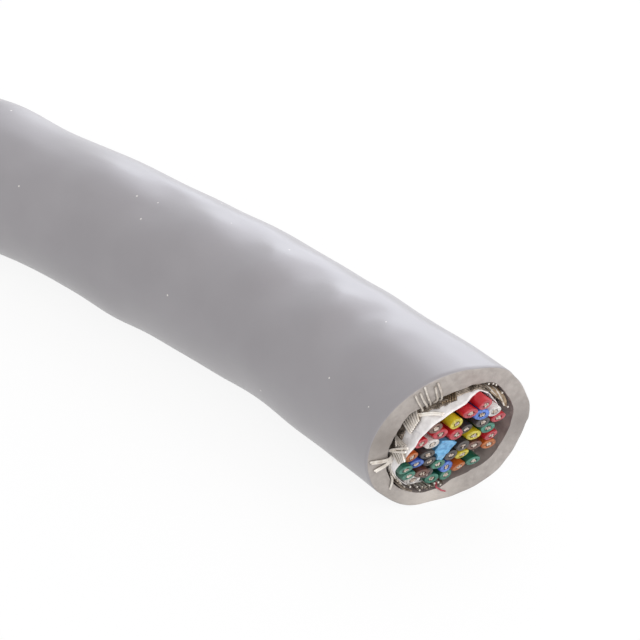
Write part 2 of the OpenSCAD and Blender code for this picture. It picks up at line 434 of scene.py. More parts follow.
def wave(along, angle):
    """Height in millimetres of the jacket's lumps and ripples at a place on its side."""
    lumps = sum(height * bump(angle, centre, width) * math.exp(-((along - place) / length) ** 2)
                for place, centre, height, length, width in LUMPS)
    turn = RIPPLES_ROUND * angle + math.tau * along / RIPPLE_LENGTH
    spot = Vector((along / NOISE_LENGTH, math.cos(angle) * NOISE_ROUND, math.sin(angle) * NOISE_ROUND))
    ripple = (RIPPLE_STEADY + noise.noise(spot)) * math.sin(turn) + noise.noise(spot + OTHER_NOISE)
    return lumps + RIPPLE_HEIGHT * ripple


print("lumps:", len(LUMPS), "highest:", max(lump[2] for lump in LUMPS), "mm")

# %% [markdown]
# ## The jacket, which is the cable
# One ring of points is extruded along the outside, turned in over the cut face, taken back through the
# bore and joined to its start. A curve with a bevel would be a plain pipe: the rings can take the lumps,
# the squashed outlines and the torn face, and each part of them its own finish. The line that the jacket
# follows is also worked out as points from end to end.

# %% Jacket
JACKET_R = 6.88741
BORE_R = 5.52741
JACKET_SIDES = 144
OUTSIDE_STEPS = 170
FACE_STEPS = 7
BORE_STEPS = 40
CORD_STEPS = 24
# The rounded rim: its length, two shares of it, and two depths as shares of the wall
RIM = 0.12
RIM_NEAR = 0.2
RIM_FAR = 0.8
RIM_MIDDLE = 0.03
RIM_DEPTH = 0.08
# The torn face: how high its bumps are, how many fit a millimetre, and where they are looked up
TORN_HEIGHT = 0.05
TORN_BUMPS = 1.8
TORN_R = 7
TORN_WALL = 1.4
TORN_SLICE = 2


def jacket_point(k, station):
    """A corner of the jacket's ring at a station: how deep it lies in the wall, and how far along."""
    depth, share = station
    angle = math.tau * k / JACKET_SIDES
    lean = unit(angle)
    along = along_to(jacket_cut(*(lean * (JACKET_R + (BORE_R - JACKET_R) * depth))), share)
    if share == 1:
        torn = lean * (TORN_R - TORN_WALL * depth) * TORN_BUMPS
        along += TORN_HEIGHT * noise.noise(Vector((*torn, TORN_SLICE)))
    outer = squashed_r(JACKET_R, RIM_AT_CUT, along, angle) + wave(along, angle) * (1 - near_cut(along))
    r = outer * (1 - depth) + squashed_r(BORE_R, BORE_AT_CUT, along, angle) * depth
    across, up = lean * r
    return on_route(along, across, max(up, -BEND_START.z))


rim_share = RIM / CABLE_LENGTH
outside = [(RIM_DEPTH, 0), (RIM_MIDDLE, RIM_NEAR * rim_share), (0, RIM_FAR * rim_share)]
outside += [(0, k / OUTSIDE_STEPS) for k in range(1, OUTSIDE_STEPS)]
rim = [(0, 1 - RIM_FAR * rim_share), (RIM_MIDDLE, 1 - RIM_NEAR * rim_share)]
face = [(RIM_DEPTH + (1 - RIM_DEPTH) * k / FACE_STEPS, 1) for k in range(FACE_STEPS + 1)]
bore = [(1, 1 - k / BORE_STEPS) for k in range(1, BORE_STEPS + 1)]
bm = bmesh.new()
rings = sweep(bm, JACKET_SIDES, outside + rim + face + bore, jacket_point)
tail_face = bmesh.ops.bridge_loops(bm, edges=loop_of(bm, rings[0]) + loop_of(bm, rings[-1]))
first_face = len(outside) + 1
first_bore = len(outside) + len(rim) + len(face) - 1
cut_verts = {v for ring in rings[first_face:first_bore + 1] for v in ring}
bore_verts = {v for ring in rings[first_bore:] for v in ring}
for f in bm.faces:
    if all(v in cut_verts for v in f.verts) or f in tail_face["faces"]:
        f.material_index = 1
    elif all(v in bore_verts for v in f.verts):
        f.material_index = 2
jacket = add_piece("cable_jacket", mesh_of("cable_jacket", bm), "jacket",
                   jacket_materials, sharp=50)
route = [on_route(-TAIL + CABLE_LENGTH * k / CORD_STEPS, 0, 0) for k in range(CORD_STEPS + 1)]
print("jacket:", len(jacket.data.polygons), "faces, length", round(CABLE_LENGTH, 1), "mm")

# %% [markdown]
# ## Wire finishes
# Each wire has a skin of coloured PVC. Its side is smooth and shiny; where it was cut it is paler,
# dull and a little dirty. So every colour gives two materials, one for the side and one for the
# cut. One function makes both, because only their numbers differ.

# %% Insulation materials
# Colour of the side and of the cut
WIRE_COLOURS = {
    "black": ("#3A3739", "#55504F"),
    "red": ("#C0202C", "#C14B55"),
    "white": ("#E6E3E2", "#DEDAD8"),
    "green": ("#1E5C4A", "#4C8A78"),
    "blue": ("#3F62BE", "#6387D8"),
    "yellow": ("#D2BE26", "#D6CA55"),
    "brown": ("#5E3A30", "#7A5A50"),
    "orange": ("#B85A24", "#BF7240"),
}
# Share of dirt, roughness, size of the dirt's patches, height of the grain
SIDE_FINISH = (0.1, 0.33, 0.6, 0.004)
CUT_FINISH = (0.3, 0.55, 0.25, 0.03)


def darker(colour, share):
    """A hex colour with each channel brought down by a share."""
    return "#" + "".join(f"{round(int(colour[i:i + 2], 16) * (1 - share)):02X}" for i in (1, 3, 5))


def wire_finish(name, colour, dirt, roughness, size, height):
    """Extruded PVC of one colour: clear highlights at the side, none at the torn, dirty cut."""
    return surface(name, colour, darker(colour, dirt), size, size / 3, height,
                   {"Roughness": roughness, "IOR": PVC_IOR})


wire_materials = {
    name: [wire_finish(f"pvc_insulation_{name}", side, *SIDE_FINISH),
           wire_finish(f"pvc_insulation_{name}_cut", cut, *CUT_FINISH)]
    for name, (side, cut) in WIRE_COLOURS.items()
}
print("insulation materials:", 2 * len(wire_materials))

# %% [markdown]
# ## The pairs
# The pairs stand in the order of their colour code. Each wire has its place in the core, counted
# in wire pitches, and the way that the cutters pushed its end: across, up and out, in millimetres.
# A particle system or an array could fill the core, but no rule gives the order that the
# photograph shows, so it is a table.

# %% Pairs of wires
PAIRS = [
    (("black", (0.4, 1.25), (0.22, -0.49, -0.3)), ("red", (-0.6, 1.1), (0.32, -0.24, 0.2))),
    (("black", (1.5, 1.65), (-0.11, -0.34, 0)), ("white", (1.8, 2.65), (0.22, -0.6, -0.06))),
    (("black", (-1.05, -2.65), (-0.08, -0.07, -0.2)), ("green", (-0.3, -3.4), (-0.33, -0.05, -0.24))),
    (("black", (-2.1, -0.1), (0.36, -0.55, 0.13)), ("blue", (-2.35, -1.1), (0, -0.24, 0.06))),
    (("black", (0.55, -0.1), (0.04, -0.51, 0.08)), ("yellow", (1.25, 0.65), (-0.07, -0.59, -0.1))),
    (("black", (-1.35, -0.85), (-0.1, -0.66, 0.04)), ("brown", (-1.65, -1.85), (-0.27, -0.41, 0.37))),
    (("black", (0.25, -1.1), (-0.28, -0.2, 0)), ("orange", (1.1, -2.35), (-0.17, -0.4, 0))),
    (("red", (-2.8, 1.15), (0.29, -0.53, 0.08)), ("white", (-1.8, 0.9), (0.1, -0.66, 0.04))),
    (("red", (2.55, 1.95), (-0.07, -0.66, -0.1)), ("green", (2.25, 0.95), (-0.34, -0.37, -0.06))),
    (("red", (0.95, 3.3), (0.09, -0.15, 0.1)), ("blue", (0.65, 2.25), (0.53, -0.03, 0.03))),
    (("red", (-0.1, 3.1), (0.42, -0.67, 0)), ("yellow", (-0.35, 2.1), (-0.15, -0.35, -0.05))),
    (("red", (-1.35, 1.8), (-0.13, -0.69, 0.1)), ("brown", (-2.35, 2.15), (0.44, -0.2, 0.16))),
    (("red", (2.6, -0.1), (-0.22, -0.06, 0)), ("orange", (2.3, -1.1), (0.35, 0.06, -0.06))),
    (("green", (-2.75, -2.05), (-0.04, -0.06, 0.37)), ("white", (-2.05, -2.8), (0.12, -0.36, -0.2))),
    (("green", (0.75, -3.35), (-0.5, 0, -0.2)), ("blue", (0.1, -2.4), (-0.03, -0.03, -0.06))),
    (("green", (-0.65, -1.7), (-0.04, -0.25, 0)), ("yellow", (1.25, -1.35), (-0.42, -0.22, -0.1))),
    (("green", (2.15, -2.15), (-0.4, -0.27, 0.04)), ("brown", (1.6, -0.35), (-0.18, -0.55, 0))),
    (("green", (-3.35, -0.85), (0.11, -0.59, 0.5)), ("orange", (-3.1, 0.15), (0.31, -0.82, 0.05))),
]
WIRE_PITCH = 1.28
WIRE_R = 0.62
# The ends are nipped a little, so that the pushed wires have room
NIPPED_R = 0.585
# Every wire stops this far short of the cut's plane
HELD_BACK = 0.15
# The slope of a wire's own end, and how much it may differ from wire to wire
CUT_SLOPE = Vector((0.2, 0.4))
TILT = 0.2
# A fixed seed, so that each run draws the same cable
draw = random.Random(18)


class Wire:
    """One wire of a pair: its colour, its place in the core and how its end was pushed."""

    def __init__(self, number, colour, place, push):
        self.name = f"{number:02d}_{colour}"
        self.colour = colour
        self.place = WIRE_PITCH * Vector(place)
        self.push = Vector(push[:2])
        self.out = push[2] - HELD_BACK
        self.tilt = Vector((draw.uniform(-TILT, TILT), draw.uniform(-TILT, TILT)))

    def end(self, offset):
        """Where along the cable the wire was cut, at an offset from its middle."""
        across, up = self.place + self.push
        return wire_cut(across, up) + self.out + (CUT_SLOPE + self.tilt).dot(offset)

    def point(self, share, offset):
        """A point of the wire, at a share of its length and an offset from its middle."""
        along = along_to(self.end(offset), share)
        pushed = near_cut(along)
        nipped = 1 + pushed * (NIPPED_R / WIRE_R - 1)
        return on_route(along, *(self.place + pushed * self.push + nipped * offset))


pairs = [[Wire(number, *half) for half in halves] for number, halves in enumerate(PAIRS, 1)]
print("pairs:", len(pairs))

# %% [markdown]
# ## The wires
# A wire is a ring extruded along the route. Its end is filled, the fill is inset by the wall of
# the insulation and pushed back to open the bore, and the rim is bevelled. A curve with a bevel
# would be less work, but its end would be a flat lid without a bore for the strands.

# %% Insulated wires
OPENING_R = 0.3
WIRE_SIDES = 24
WIRE_STEPS = 30
BORE_DEPTH = 0.2
WIRE_RIM = 0.1


def wire_mesh(wire):
    """One insulated wire with an open, bevelled end at the slanted cut and another at the tail."""

    def point(k, share):
        return wire.point(share, WIRE_R * unit(math.tau * k / WIRE_SIDES))

    bm = bmesh.new()
    rings = sweep(bm, WIRE_SIDES, [k / WIRE_STEPS for k in range(WIRE_STEPS + 1)], point)
    tail_way = on_route(-1, 0, 0) - on_route(0, 0, 0)
    cut_way = on_route(BEND_LENGTH + 1, 0, 0) - on_route(BEND_LENGTH, 0, 0)
    for ring, outwards in ((rings[0], tail_way), (rings[-1], cut_way)):
        rim = loop_of(bm, ring)
        cap = bmesh.ops.contextual_create(bm, geom=rim)["faces"][0]
        cap.material_index = 1
        bmesh.ops.inset_individual(bm, faces=[cap], thickness=(WIRE_R - OPENING_R) * MM)
        floor = bmesh.ops.extrude_discrete_faces(bm, faces=[cap])["faces"][0]
        bmesh.ops.translate(bm, verts=floor.verts, vec=-BORE_DEPTH * outwards)
        bmesh.ops.bevel(bm, geom=rim, offset=WIRE_RIM * MM, segments=2, profile=0.5,
                        affect="EDGES", material=-1)
    return mesh_of("wire_" + wire.name, bm)


for wire in [wire for pair in pairs for wire in pair]:
    add_piece("wire_" + wire.name, wire_mesh(wire), "pair_" + wire.name,
              wire_materials[wire.colour])
print("wires:", 2 * len(pairs))

# %% [markdown]
# ## Strands, and tinned copper
# The conductors, the braid and the rip cord are all thin round strands. A strand is a curve with a
# round bevel, which needs only the points that it goes through. The curves are turned to one mesh,
# so that a piece with many strands is still one object. Tin on copper is a soft silver with a
# trace of warmth; it tarnishes brown or grey, and a film of oxide makes it look less like metal.

# %% Strands and tinned copper
# Points that are closer than this, in metres, become one
WELDED = 1e-7
COPPER_PATCH = 0.5
# The marks of the drawing die are finer than this, and are drawn coarse enough to show
DRAWN_MARK = 0.08
DRAWN_HEIGHT = 0.003


def strands_mesh(name, *groups):
    """Round strands along lists of points.

    A group is its kind, the radius of its strands and their lines: POLY strands go through their
    points, NURBS ones bend towards them. Each group takes the next material of the piece.
    """
    bm = bmesh.new()
    for number, (kind, radius, routes) in enumerate(groups):
        curve = bpy.data.curves.new(name, "CURVE")
        curve.dimensions = "3D"
        curve.bevel_depth = radius * MM
        curve.bevel_resolution = 1
        curve.use_fill_caps = True
        for route in routes:
            spline = curve.splines.new(kind)
            spline.points.add(len(route) - 1)
            for point, place in zip(spline.points, route):
                point.co = (*place, 1)
            spline.order_u = 3
            spline.resolution_u = 4
            spline.use_endpoint_u = True
        holder = bpy.data.objects.new(name, curve)
        scene.collection.objects.link(holder)
        ready = holder.evaluated_get(bpy.context.evaluated_depsgraph_get())
        made_before = len(bm.faces)
        bm.from_mesh(bpy.data.meshes.new_from_object(ready))
        bpy.data.objects.remove(holder)
        bm.faces.ensure_lookup_table()
        for face in bm.faces[made_before:]:
            face.material_index = number
    bmesh.ops.remove_doubles(bm, verts=bm.verts, dist=WELDED)
    return mesh_of(name, bm)


def tinned_copper(name, light, dark, roughness, metallic):
    """Drawn copper wire, dipped in tin: silver glints that the fine marks of the die break up."""
    return surface(name, light, dark, COPPER_PATCH, DRAWN_MARK, DRAWN_HEIGHT,
                   {"Roughness": roughness, "Metallic": metallic})


conductor_metal = tinned_copper("tinned_copper_drawn", "#DCD0C6", "#B8AA9E", 0.3, 1.0)
print("made", conductor_metal.name)

# %% [markdown]
# ## The conductors
# A conductor is seven strands of tinned copper, one in the middle and six round it. The strands
# were nipped, so their ends are not level, and each wire's strands are rolled by chance. They
# follow the points of their wire, so they stay in its bore where its end is pushed.

# %% Conductors
STRAND_R = 0.085
# The strands are pressed together, so they stand closer than two radii
STRAND_SPACING = 1.8 * STRAND_R
OUTER_STRANDS = 6
CONDUCTOR_STEPS = 30
NIPPED_BACK = (-0.06, 0.08)


def strand_route(wire, offset):
    """The line of one strand of a conductor, from the tail to a nipped end."""
    nipped = 1 - draw.uniform(*NIPPED_BACK) / CABLE_LENGTH
    return [wire.point(nipped * k / CONDUCTOR_STEPS, offset) for k in range(CONDUCTOR_STEPS + 1)]


for number, pair in enumerate(pairs, 1):
    name = f"strands_{number:02d}"
    routes = []
    for wire in pair:
        roll = draw.uniform(0, math.tau)
        ring = [roll + k * math.tau / OUTER_STRANDS for k in range(OUTER_STRANDS)]
        offsets = [Vector((0, 0))] + [STRAND_SPACING * unit(angle) for angle in ring]
        routes += [strand_route(wire, offset) for offset in offsets]
    add_piece(name, strands_mesh(name, ("POLY", STRAND_R, routes)), f"pair_{number:02d}_conductors",
              [conductor_metal])
print("conductors:", 2 * len(pairs), "of", OUTER_STRANDS + 1, "strands")

# %% [markdown]
# ## The weave of the braid
# Sixteen flat carriers of seven strands are wound both ways and go over one crossing and under
# the next. Each strand is a curve: its angle grows along the cable, its distance from the axis
# swings between two heights. A bump pattern on a tube would look woven from afar, but at the cut
# the strands are seen one by one.

# %% Weave
CARRIERS = 8
CARRIER_STRANDS = 7
CARRIER_W = 1.45
BRAID_STRAND_R = 0.078
BRAID_PITCH = 60.0
WEAVE_STEP = BRAID_PITCH / (2 * CARRIERS)
FIRST_CROSSING = -8
LAST_CROSSING = 18
# How far from a crossing a carrier stays level, as a share of the way to the next one
LEVEL = 0.36
UNDER_R = 5.275
OVER_R = 5.435
TAPE_R = 5.107
BRAID_LEAN = math.atan(math.tau * UNDER_R / BRAID_PITCH)
# Where the braid's end reaches on: angle, half width in degrees, how far
LOOSE_ENDS = ((250, 42, 1.1), (85, 40, 0.5))
# How ragged the strands' ends are, and the shortest step that a strand may end with
RAGGED = 0.15
SHORTEST = 0.1


def carrier_r(hand, along):
    """Distance of a carrier's strands from the axis: over one crossing, under the next."""
    crossing = round(along / WEAVE_STEP)
    off = abs(along / WEAVE_STEP - crossing)
    height = min(1, (0.5 - off) / (0.5 - LEVEL))
    over = hand if crossing % 2 == 0 else -hand
    return (OVER_R + UNDER_R) / 2 + over * height * (OVER_R - UNDER_R) / 2


def braid_strand(number, hand, strand):
    """The line of one strand of a carrier."""
    shift = ((strand + 0.5) / CARRIER_STRANDS - 0.5) * CARRIER_W / math.cos(BRAID_LEAN) / UNDER_R
    start = math.tau / CARRIERS * number + shift

    def angle(along):
        return start + hand * math.tau * along / BRAID_PITCH

    last = angle(BEND_LENGTH)
    stop = braid_cut(OVER_R * math.cos(last), OVER_R * math.sin(last)) + draw.uniform(-RAGGED, RAGGED)
    stop += sum(reach * bump(last, turn, width) for turn, width, reach in LOOSE_ENDS)
    crossings = range(FIRST_CROSSING, LAST_CROSSING + 1)
    bends = [(m + side) * WEAVE_STEP for m in crossings for side in (-LEVEL, 0, LEVEL)]
    stations = [-TAIL] + [b for b in bends if -TAIL + SHORTEST < b < stop - SHORTEST] + [stop]
    line = []
    for along in stations:
        at = angle(along)
        lift = carrier_r(hand, along) - TAPE_R
        r = lift + squashed_r(TAPE_R, TAPE_AT_CUT, along, at)
        line.append(on_route(along, r * math.cos(at), r * math.sin(at)))
    return line


woven_routes = [braid_strand(number, hand, strand) for number in range(CARRIERS)
                for hand in (-1, 1) for strand in range(CARRIER_STRANDS)]
print("woven strands:", len(woven_routes))

# %% [markdown]
# ## Bundles past the braid
# At the cut whole carriers came loose and lie on the tape as flat bundles. A bundle is its first
# and its last strand, with the rest spread evenly between them, so a short table holds them all.
# The bundles are sorted by their metal: a copy of the tin painted brighter, as painted light, for
# bundles in shade; a copy painted dimmer, as painted shade, for those in strong light; brown; or
# tarnished and painted darker as shade.

# %% Bundles
# How many strands, their lift over the tape, then the first and the last strand of the bundle as
# points: angle in degrees, reach past the jacket's cut
# Bundles in shade, which take the tin painted brighter, as painted light
BRIGHTENED_BUNDLES = (
    (7, 0.45, ((147, -1.18), (150, -0.33), (152, 0.26), (154, 0.85)),
     ((128, -0.96), (133, -0.2), (136, 0.3), (139, 0.77))),
    (2, 0.3, ((142, -0.55), (137, 0.13), (128, 0.73), (122, 1.35), (120, 1.67)),
     ((140, -0.65), (135, 0.03), (126, 0.63), (120, 1.25), (118, 1.57))),
    (2, 0.55, ((184, -0.6), (180, -0.11), (173, 0.73), (168, 1.46)),
     ((184, -0.57), (181, -0.07), (176, 0.9), (172, 1.54))),
)
# Bundles in strong light, which take the tin painted dimmer, as painted shade
DIMMED_BUNDLES = (
    (4, 0.45, ((164, -0.66), (169, -0.18), (172, 0.04), (174, 0.29)),
     ((165, -0.71), (167, 0.02), (167, 0.46), (168, 1.05))),
    (5, 0.35, ((181, -0.13), (184, 0.3), (186, 0.79), (188, 1.23)),
     ((172, 0.6), (176, 0.98), (179, 1.36), (183, 1.7))),
    (3, 0.12, ((184, -0.5), (198, -0.18), (212, -0.4), (226, -0.5)),
     ((188, -0.1), (202, 0.22), (216, 0), (230, -0.1))),
)
BROWN_BUNDLES = (
    (6, 0.3, ((93, -0.99), (101, -0.32), (106, 0.07), (110, 0.45)),
     ((87, -0.8), (92, -0.17), (95, 0.26), (98, 0.66))),
)
# Strands below the others, and the last turns of the braid round the tape: tarnished, and painted darker
# as shade
TARNISHED_AND_SHADED_BUNDLES = (
    (10, 0.26, ((148, -1.18), (151, -0.33), (153, 0.26), (154, 0.7)),
     ((127, -0.96), (132, -0.2), (135, 0.3), (138, 0.65))),
    (9, 0.12, ((94, -0.99), (102, -0.32), (107, 0.07), (112, 0.5)),
     ((86, -0.8), (91, -0.17), (94, 0.26), (97, 0.66))),
    (8, 0.2, ((181, -0.13), (184, 0.3), (186, 0.7), (188, 1.1)),
     ((172, 0.6), (176, 0.98), (179, 1.3), (183, 1.55))),
    (5, 0.12, ((140, -0.86), (129, -0.56), (119, -0.51), (109, -0.46), (100, -0.56)),
     ((140, -0.14), (129, 0.16), (119, 0.21), (109, 0.26), (100, 0.16))),
    (5, 0.12, ((114, -0.71), (100, -0.56), (86, -0.56), (72, -0.46), (58, -0.56)),
     ((114, 0.01), (100, 0.16), (86, 0.16), (72, 0.26), (58, 0.16))),
    (4, 0.12, ((156, -0.77), (166, -0.62), (178, -0.62), (184, -0.77)),
     ((156, -0.23), (166, -0.08), (178, -0.08), (184, -0.23))),
)


def past_cut(across, up, reach):
    """A place of the section, at a reach past the jacket's slanted cut."""
    return on_route(jacket_cut(across, up) + reach, across, up)


def bundle_strands(bundles):
    """The lines of the bundles' strands, spread evenly from the first strand to the last."""
    lines = []
    for count, lift, first, last in bundles:
        for number in range(count):
            line = []
            for mark, last_mark in zip(first, last):
                turn, reach = Vector(mark).lerp(Vector(last_mark), number / (count - 1))
                angle = math.radians(turn)
                r = outline_r(TAPE_AT_CUT, angle) + lift
                line.append(past_cut(r * math.cos(angle), r * math.sin(angle), reach))
            lines.append(line)
    return lines


# The woven strands and these bundles take the tarnished tin, painted darker as shade
tarnished_and_shaded_routes = woven_routes + bundle_strands(TARNISHED_AND_SHADED_BUNDLES)
brightened_routes = bundle_strands(BRIGHTENED_BUNDLES)
print("tarnished strands:", len(tarnished_and_shaded_routes), "rubbed:", len(brightened_routes))

# %% [markdown]
# ## Frayed strands
# Single strands are bent out over the jacket's face, some lie in the gap between braid and jacket,
# and bright cut ends look out of that gap. Hair particles could fray by chance, but the strands in
# the photograph are few and easy to tell apart, so each one is a row of points.

# %% Frayed strands
# Points of each strand: across, up, reach past the jacket's cut
FRAYED = (
    ((-2.8, 3.4, -1.2), (-2.9, 3.5, 0.1), (-3, 3.85, 0.2), (-3.5, 4.7, 0.15), (-3.8, 5.4, 0.12)),
    ((-2.4, 3.7, -1.2), (-2.5, 3.8, 0.1), (-2.7, 4.15, 0.2), (-3.15, 4.9, 0.15), (-3.4, 5.55, 0.12)),
    ((-2.2, 3.8, -1.2), (-2.3, 3.95, 0.1), (-2.4, 4.3, 0.2), (-2.8, 5.15, 0.15), (-3.1, 6.05, 0.12)),
    ((-2.4, 4, -0.9), (-2.1, 4.15, 0.1), (-1.8, 4.5, 0.2), (-2, 5.1, 0.15), (-2.2, 5.9, 0.12)),
    ((-2.1, 4.1, -0.9), (-1.6, 4.25, 0.1), (-1.45, 4.6, 0.2), (-1.7, 5.45, 0.15), (-2.05, 6.25, 0.12)),
    ((-4.4, -0.3, -1), (-4.8, -0.5, 0.1), (-5.2, -0.8, 0.2), (-6.05, -0.75, 0.15), (-6.75, -0.7, 0.12)),
    ((-4.4, -0.4, -1), (-4.8, -0.65, 0.1), (-5.2, -0.95, 0.2), (-6.05, -0.95, 0.15), (-6.6, -0.9, 0.12)),
    ((-4.5, -0.5, -1), (-4.7, -0.65, 0.1), (-5.15, -1.1, 0.2), (-5.7, -1.5, 0.15), (-6.25, -1.75, 0.12)),
    ((-4.5, -0.6, -1), (-4.7, -0.8, 0.1), (-5.15, -1.3, 0.2), (-5.65, -1.65, 0.15), (-6.1, -1.9, 0.12)),
    ((-4.5, -2.4, -0.8), (-4.5, -2.9, 0.1), (-4.5, -3.55, 0.2), (-4.55, -4.2, 0.12)),
    ((2.4, 4.5, -1.5), (2.8, 4.4, -0.3), (3.35, 3.6, -0.2), (4.05, 2.8, -0.3)),
    ((3.2, 4.2, -1.5), (3.4, 4.1, -0.3), (4.1, 3, -0.2), (4.65, 1.9, -0.3)),
)
# Brown strands that lie in the gap at the right
GAP_STRANDS = (
    ((2.15, 4.55, -1.4), (2.55, 4.5, -0.3), (3.1, 3.75, -0.15), (3.85, 2.95, -0.2)),
    ((2.6, 4.4, -1.5), (2.95, 4.3, -0.35), (3.5, 3.45, -0.25), (4.2, 2.6, -0.3)),
    ((2.75, 4.35, -1.5), (3.1, 4.25, -0.3), (3.65, 3.4, -0.2), (4.3, 2.5, -0.25)),
    ((2.9, 4.3, -1.5), (3.25, 4.2, -0.3), (3.85, 3.25, -0.2), (4.45, 2.3, -0.25)),
    ((3, 4.3, -1.5), (3.6, 4, -0.3), (4.25, 2.9, -0.25), (4.75, 1.8, -0.3)),
    ((3.45, 4.1, -1.5), (3.75, 3.85, -0.3), (4.5, 2.7, -0.3), (4.85, 1.9, -0.35)),
    ((3.7, 4, -1.5), (3.95, 3.75, -0.3), (4.8, 2.4, -0.35), (4.9, 1.9, -0.4)),
)
# Cut ends in the gap all round: across and up, and the reaches of each one's three points
CUT_ENDS = (
    (-3.1, -4.6), (-2.56, -4.72), (-1.92, -4.92), (-1.64, -5.38), (-1.46, -5.1), (-1.15, -5.15),
    (-0.82, -5.12), (-0.4, -5), (-0.06, -4.98), (0.17, -5.3), (1.53, 4.75), (2.7, 4.75),
    (3.1, 4.65), (3.4, 4.45), (4.1, 3.45), (4.9, 1.75),
)
CUT_END_REACHES = (-1.5, -0.8, -0.1)

# These strands take the tin painted dimmer, as painted shade
dimmed_routes = bundle_strands(DIMMED_BUNDLES)
dimmed_routes += [[past_cut(*mark) for mark in marks] for marks in FRAYED]
dimmed_routes += [[past_cut(*spot, reach) for reach in CUT_END_REACHES] for spot in CUT_ENDS]
brown_routes = bundle_strands(BROWN_BUNDLES)
brown_routes += [[past_cut(*mark) for mark in marks] for marks in GAP_STRANDS]
print("frayed strands:", len(dimmed_routes), "brown:", len(brown_routes))

# %% [markdown]
# ## The braid
# The woven strands, the bundles and the frayed strands are one piece with four metals. Tin that the
# jacket covered is tarnished dull and dark, and painted darker still as shade; bundles on the tape that
# lie in shade take a copy of the tin painted brighter, as painted light; strands that catch strong light
# take a copy painted dimmer, as painted shade; and some strands have a brown film. The bent strands are
# drawn a little thicker than the woven ones, or they would be lost between the pixels.

# %% Braid
BENT_R = 0.095

# Light and dark colour, roughness, metallic: a film of oxide takes the mirror from the metal
braid_metals = [
    # Tarnished tin, painted darker as shade where the braid lies in the shadow of the jacket's rim
    tinned_copper("tinned_copper_tarnished_and_shaded", "#9A8E82", "#72685E", 0.42, 0.4),
    # The same tin painted brighter, as painted light for bundles in shade
    tinned_copper("tinned_copper_painted_bright", "#FFFBF6", "#EFE7DC", 0.32, 0.5),
    tinned_copper("tinned_copper_browned", "#BCA88E", "#8F7C66", 0.36, 0.7),
    # The same tin painted dimmer, as painted shade for strands that catch strong light
    tinned_copper("tinned_copper_painted_dim", "#E4DFD8", "#C8C0B7", 0.32, 0.55),
]
braid_mesh = strands_mesh(
    "braid",
    ("POLY", BRAID_STRAND_R, tarnished_and_shaded_routes),
    ("NURBS", BENT_R, brightened_routes),
    ("NURBS", BRAID_STRAND_R, brown_routes),
    ("NURBS", BENT_R, dimmed_routes),
)
braid = add_piece("braid", braid_mesh, "braid_shield", braid_metals)
print("braid faces:", len(braid.data.polygons))

# %% [markdown]
# ## The binder tape
# A thin white tape is laid lengthwise round the core and laps over itself. Its free end past the
# braid is crumpled. It is an open ring, extruded along the route, with a Solidify modifier for its
# thickness; near the cut the ring is pressed in between the wires and its edge wanders. A cloth
# simulation could crumple it, but it would not stop where the photograph does.

# %% Tape
# The lap: its radius, where the tape starts and how far it laps in degrees, how late it rises
TAPE_LAP_R = 5.157
TAPE_START = 90
TAPE_LAP = 60
LAP_RISE = 6
TAPE_T = 0.05
TAPE_SIDES = 141
TAPE_STEPS = 40
# The edge at the cut: how far it wanders, how often round, and where it sticks out or stays back
EDGE_WANDER = 0.3
EDGE_WAVES = 2.2
EDGE_SLICE = 4
STICKS_OUT = 0.8
OUT_AT = (140, 55)
BACK_AT = (295, 75)
# The creases: the length that is crumpled, their height, how many round and how long
CRUMPLED = 3.0
CREASE = 0.12
CREASES_ROUND = 3
CREASE_LENGTH = 2


def tape_point(k, share):
    """A corner of the tape's open ring: once round and a lap further, over its own start."""
    turn = (360 + TAPE_LAP) * k / (TAPE_SIDES - 1)
    angle = math.radians(TAPE_START + turn)
    r = TAPE_R + (TAPE_LAP_R - TAPE_R) * min(1, turn / 360) ** LAP_RISE
    lean = unit(angle)
    end = tape_cut(*(lean * r)) + EDGE_WANDER * noise.noise(Vector((*(lean * EDGE_WAVES), EDGE_SLICE)))
    end += STICKS_OUT * (bump(angle, *OUT_AT) - bump(angle, *BACK_AT))
    along = along_to(end, share)
    loose = max(0, 1 - (end - along) / CRUMPLED) ** 2
    crease = noise.noise(Vector((*(lean * CREASES_ROUND), along / CREASE_LENGTH)))
    r += squashed_r(TAPE_R, TAPE_AT_CUT, along, angle) - TAPE_R + CREASE * loose * crease
    return on_route(along, *(lean * r))


# Spun polyester: a bright, matt white, shaded by fine crumples
tape_white = surface("white_polyester_tape", "#F8F6F7", "#E6E3E4", patch=0.7, mark=0.6, height=0.1,
                     values={"Roughness": 0.7, "IOR": 1.5})
bm = bmesh.new()
sweep(bm, TAPE_SIDES, crowded(TAPE_STEPS), tape_point, closed=False)
tape = add_piece("binder_wrap", mesh_of("binder_wrap", bm), "binder_tape",
                 [tape_white], sharp=80)
thickness = tape.modifiers.new("tape_thickness", "SOLIDIFY")
thickness.thickness = TAPE_T * MM
thickness.offset = 0
print("tape faces:", len(tape.data.polygons))

# %% [markdown]
# ## The filler
# A crumpled strip of light-blue plastic film fills the middle of the core. Its outline is drawn in
# the section, once for the cable and once for the squashed cut, and extruded along the route with
# dents. A plain rod would do for the hidden length, but the film's bent corners show at the cut.

# %% Filler
# Outline in wire pitches, and the outline at the cut in millimetres
FILLER = [
    (-1.5, 0.3), (-1.2, 0.55), (-0.75, 0.45), (-0.35, 0.3), (-0.05, 0), (-0.05, -0.4),
    (-0.25, -0.65), (-0.6, -0.75), (-0.85, -0.6), (-1.05, -0.3), (-1.35, -0.05),
]
FILLER_AT_CUT = [
    (-1.66, 0.1), (-1.5, 0.7), (-0.95, 0.68), (-0.5, 0.45), (-0.15, 0.2), (-0.28, -0.3),
    (-0.5, -1.0), (-0.8, -1.8), (-1.25, -1.75), (-1.45, -1.15), (-1.7, -0.55),
]
FILLER_STEPS = 40
EDGE_PARTS = 3
# The strip is a little smaller than its outline, which leaves room for the dents
FILLER_FIT = 0.98
DENT = 0.08
DENTS_ROUND = 2.5
DENTS_ALONG = 0.8
